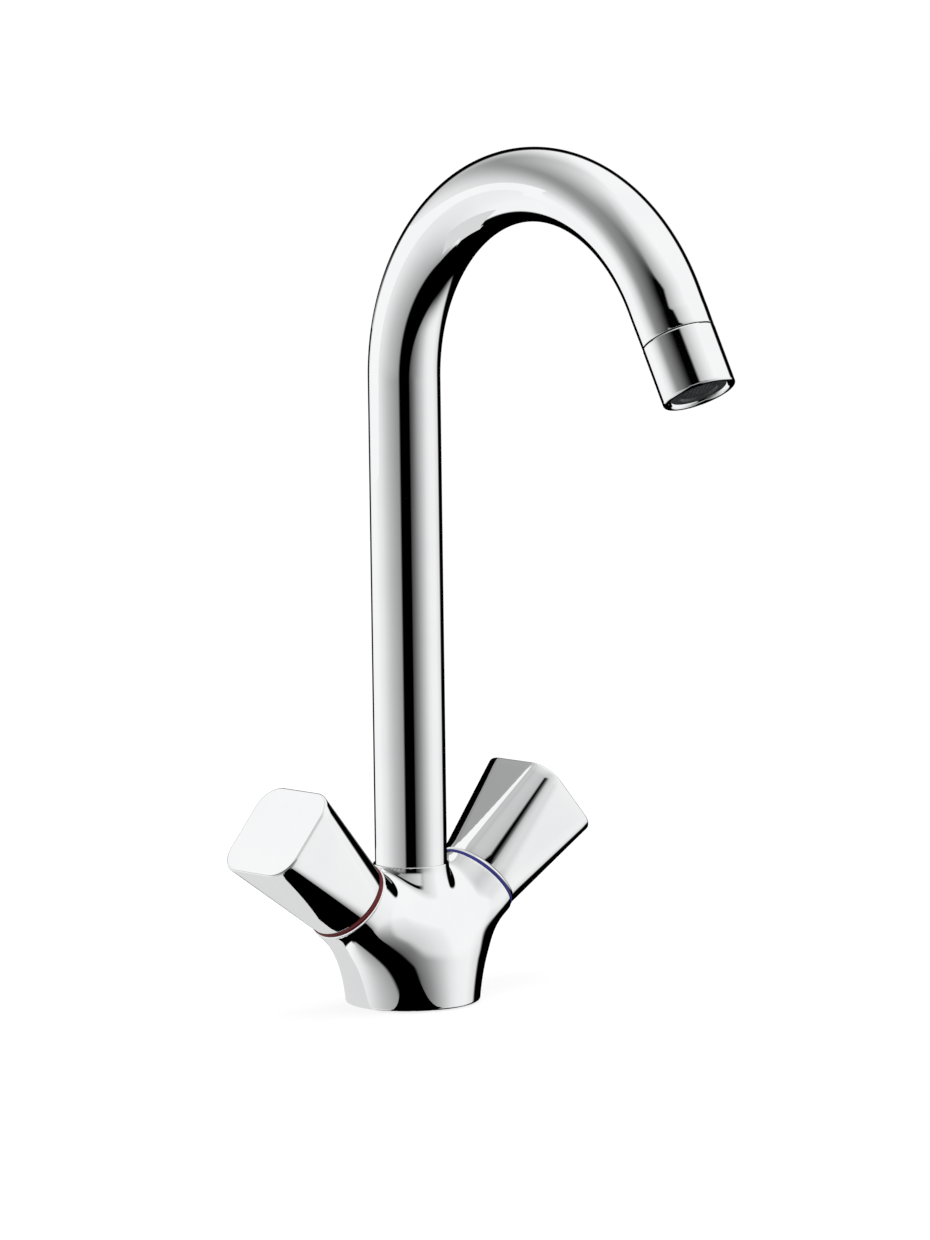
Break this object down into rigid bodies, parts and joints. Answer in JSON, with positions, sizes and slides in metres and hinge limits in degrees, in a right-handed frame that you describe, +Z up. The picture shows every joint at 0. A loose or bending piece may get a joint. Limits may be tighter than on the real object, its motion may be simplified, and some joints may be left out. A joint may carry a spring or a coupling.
{
  "type": "two handle kitchen faucet",
  "caption": "Deck mounted kitchen faucet: Y shaped body, swivelling high arc spout with aerator, and square hot and cold quarter turn handles.",
  "frame": {"origin": "centre of the body's round base, on the plane of the deck it stands on", "axes": "+Z up along the spout's swivel axis, the spout reaches towards -Y, the hot handle leans to -X and the cold handle to +X"},
  "size_m": [0.1506, 0.1866, 0.3093],
  "materials": {
    "chrome": "polished chrome plate",
    "brass": "machined, unplated",
    "steel": "stainless, bright",
    "ceramic": "lapped alumina",
    "rubber": "matte seal rubber",
    "white_plastic": "natural acetal",
    "grey_plastic": "moulded, satin",
    "hot_ring": "moulded, dark red",
    "cold_ring": "moulded, dark blue"
  },
  "bodies": {
    "faucet_body": {"body": "chrome", "base_seal": "rubber", "swivel_slide_ring": "white_plastic", "hot_headwork_housing": "brass", "hot_headwork_seal": "rubber", "hot_seat_seal": "rubber", "hot_fixed_disc": "ceramic", "hot_glide_washer": "white_plastic", "hot_index_ring": "hot_ring", "cold_headwork_housing": "brass", "cold_headwork_seal": "rubber", "cold_seat_seal": "rubber", "cold_fixed_disc": "ceramic", "cold_glide_washer": "white_plastic", "cold_index_ring": "cold_ring"},
    "spout": {"spout_tube": "chrome", "swivel_bush": "brass", "swivel_seal_lower": "rubber", "swivel_seal_upper": "rubber", "swivel_snap_ring": "white_plastic", "outlet_adapter": "brass", "aerator_sleeve": "chrome", "aerator_gasket": "rubber", "aerator_core": "grey_plastic", "aerator_spreader": "white_plastic", "aerator_grid": "grey_plastic"},
    "hot_handle_set": {"hot_moving_disc": "ceramic", "hot_spindle": "brass", "hot_spindle_seal": "rubber", "hot_spindle_clip": "steel", "hot_snap_insert": "white_plastic", "hot_insert_screw": "steel", "hot_handle": "chrome"},
    "cold_handle_set": {"cold_moving_disc": "ceramic", "cold_spindle": "brass", "cold_spindle_seal": "rubber", "cold_spindle_clip": "steel", "cold_snap_insert": "white_plastic", "cold_insert_screw": "steel", "cold_handle": "chrome"}
  },
  "joints": [
    {"name": "spout_swivel", "type": "hinge", "parent": "faucet_body", "child": "spout", "pos_m": [0, 0, 0.05], "axis": [0, 0, 1], "continuous": true},
    {"name": "hot_turn", "type": "hinge", "parent": "faucet_body", "child": "hot_handle_set", "pos_m": [0, 0, 0.0132], "axis": [-0.7547, 0, 0.6561], "range_deg": [0, 90]},
    {"name": "cold_turn", "type": "hinge", "parent": "faucet_body", "child": "cold_handle_set", "pos_m": [0, 0, 0.0132], "axis": [0.7547, 0, 0.6561], "range_deg": [-90, 0]}
  ]
}
